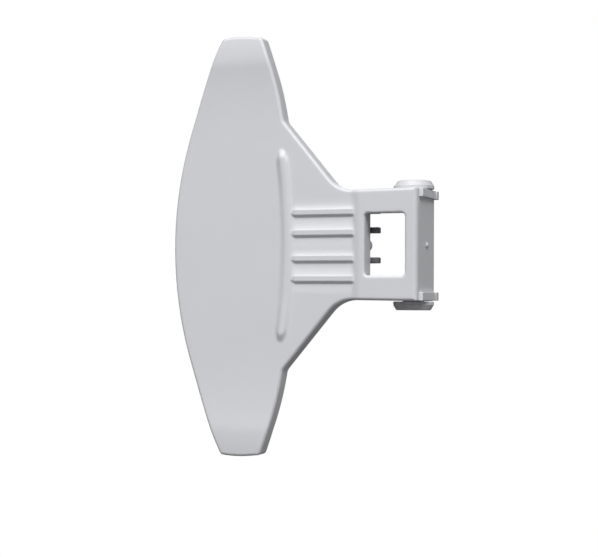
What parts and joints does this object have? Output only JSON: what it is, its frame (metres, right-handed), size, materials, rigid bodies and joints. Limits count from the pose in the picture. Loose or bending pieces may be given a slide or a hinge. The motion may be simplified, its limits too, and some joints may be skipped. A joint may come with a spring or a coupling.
{
  "type": "washing machine door handle",
  "caption": "Pull handle for a front-loading washer door: broad bowed grip, ribbed neck and a windowed hinge box that turns on an axle between conical bushes.",
  "frame": {"origin": "on the pivot axle, half way between the two pivot heads", "axes": "+Z along the axle, upwards with the handle mounted; -Y is the front; +X from the grip towards the pivot"},
  "size_m": [0.1003, 0.0226, 0.16],
  "materials": {
    "handle_plastic": "light grey-white ABS, satin moulded face with softened edges",
    "peg_plastic": "dark grey plastic pegs behind the cross wall",
    "bush_plastic": "light grey-white acetal, satin, turned look on the cone",
    "axle_steel": "drawn steel rod with chamfered ends",
    "spring_steel": "drawn spring wire"
  },
  "bodies": {
    "pivot": {"axle_pin": "axle_steel", "upper_pivot_bush": "bush_plastic", "lower_pivot_bush": "bush_plastic", "return_spring": "spring_steel"},
    "handle": {"back_rib_1": "handle_plastic", "back_rib_2": "handle_plastic", "back_rib_3": "handle_plastic", "back_rib_4": "handle_plastic", "centre_post": "handle_plastic", "cross_wall": "handle_plastic", "end_wall": "handle_plastic", "grip_panel": "handle_plastic", "latch_peg_1": "peg_plastic", "latch_peg_2": "peg_plastic", "latch_peg_3": "peg_plastic", "latch_peg_4": "peg_plastic", "lower_cheek": "handle_plastic", "lower_grip_panel": "handle_plastic", "lower_neck_wall": "handle_plastic", "lower_stop_pad": "handle_plastic", "lower_tip_panel": "handle_plastic", "lower_tip_rim": "handle_plastic", "lower_wing_rim": "handle_plastic", "neck_ridge_1": "handle_plastic", "neck_ridge_2": "handle_plastic", "neck_ridge_3": "handle_plastic", "neck_ridge_4": "handle_plastic", "neck_web": "handle_plastic", "outer_rim": "handle_plastic", "ring_bead": "handle_plastic", "upper_cheek": "handle_plastic", "upper_grip_panel": "handle_plastic", "upper_neck_wall": "handle_plastic", "upper_stop_pad": "handle_plastic", "upper_tip_panel": "handle_plastic", "upper_tip_rim": "handle_plastic", "upper_wing_rim": "handle_plastic", "window_bottom_bar": "handle_plastic", "window_left_bar": "handle_plastic", "window_right_bar": "handle_plastic", "window_top_bar": "handle_plastic"}
  },
  "joints": [
    {"name": "handle_pull", "type": "hinge", "parent": "pivot", "child": "handle", "pos_m": [0, 0, 0], "axis": [0, 0, 1], "range_deg": [0, 25], "stiffness_Nm_per_rad": 0.15, "springref_deg": -20.05, "deforming": ["return_spring"]}
  ]
}
